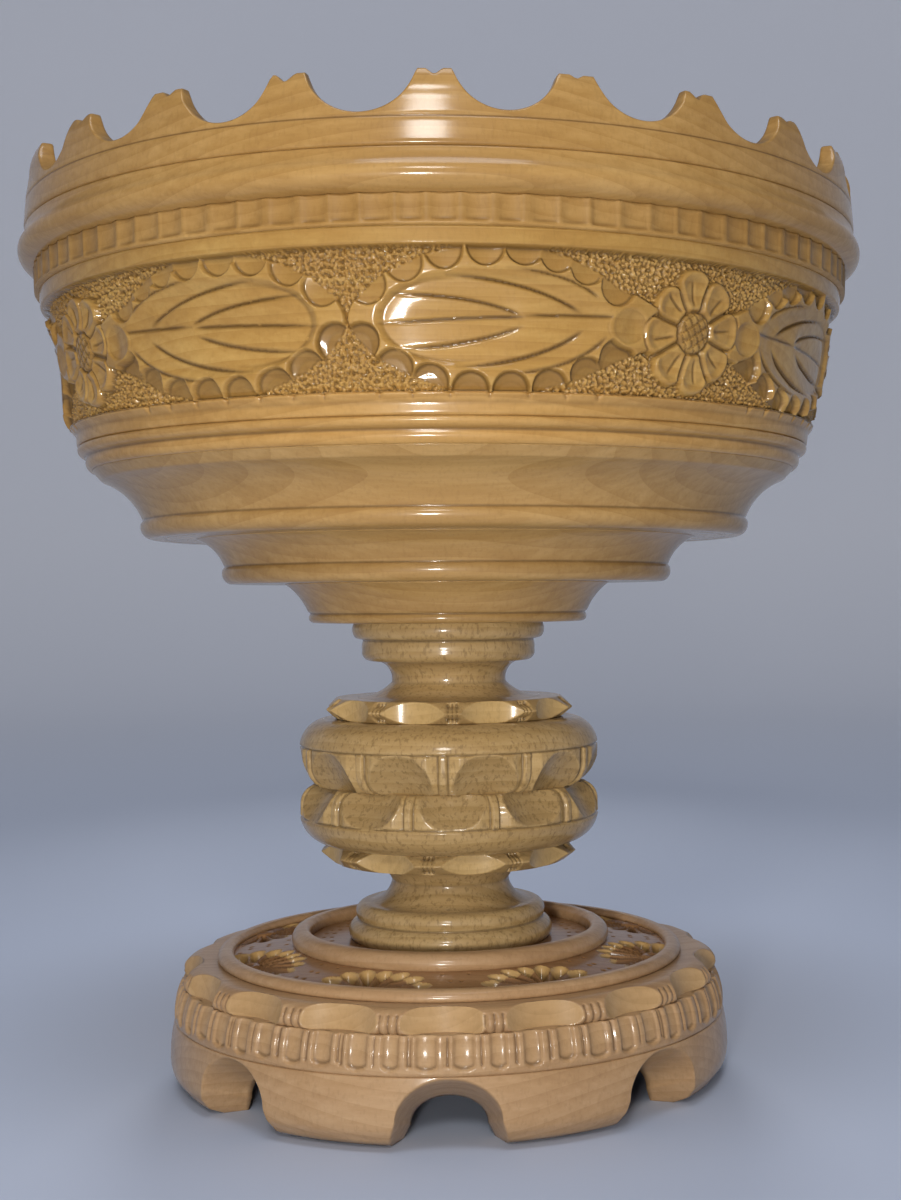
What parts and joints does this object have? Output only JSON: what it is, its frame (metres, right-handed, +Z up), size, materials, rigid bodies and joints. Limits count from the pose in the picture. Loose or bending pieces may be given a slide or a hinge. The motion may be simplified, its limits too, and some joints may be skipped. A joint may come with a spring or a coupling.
{
  "type": "footed wooden bowl",
  "caption": "Turned and carved pedestal bowl in lacquered pale wood: scalloped rim, leaf-and-rosette frieze, knopped stem and an arched, fluted foot.",
  "frame": {"origin": "on the floor, on the turning axis, at the centre of the foot's resting face", "axes": "+Z up along the turning axis; -Y points out through one of the foot's arches, and +X points out through another"},
  "size_m": [0.2248, 0.2248, 0.241],
  "materials": {
    "bowl_wood": "honey-coloured turned wood under clear gloss lacquer",
    "carved_wood": "carved in relief on a punched ground, clear gloss lacquer",
    "stem_wood": "turned across the grain with fine ray flecks, clear gloss lacquer",
    "gouged_wood": "gouge-cut edges, slightly yellower, clear gloss lacquer",
    "foot_wood": "turned and chip-carved wood, clear gloss lacquer",
    "dowel_wood": "plain unfinished dowel, hidden inside the stem"
  },
  "bodies": {
    "root": {"crown_ring": "bowl_wood", "rim_moulding": "bowl_wood", "fluted_ring": "bowl_wood", "frieze_ring": "carved_wood", "upper_band_ring": "bowl_wood", "lower_band_ring": "bowl_wood", "upper_step_ring": "bowl_wood", "middle_step_ring": "bowl_wood", "bowl_base": "bowl_wood", "upper_spool": "stem_wood", "upper_toothed_disc": "gouged_wood", "upper_knop": "stem_wood", "lower_knop": "stem_wood", "lower_toothed_disc": "gouged_wood", "lower_spool": "stem_wood", "foot_plate": "foot_wood", "inner_moulding": "foot_wood", "outer_bead": "foot_wood", "toothed_foot_ring": "gouged_wood", "foot_skirt": "foot_wood", "stem_dowel": "dowel_wood"}
  },
  "joints": []
}
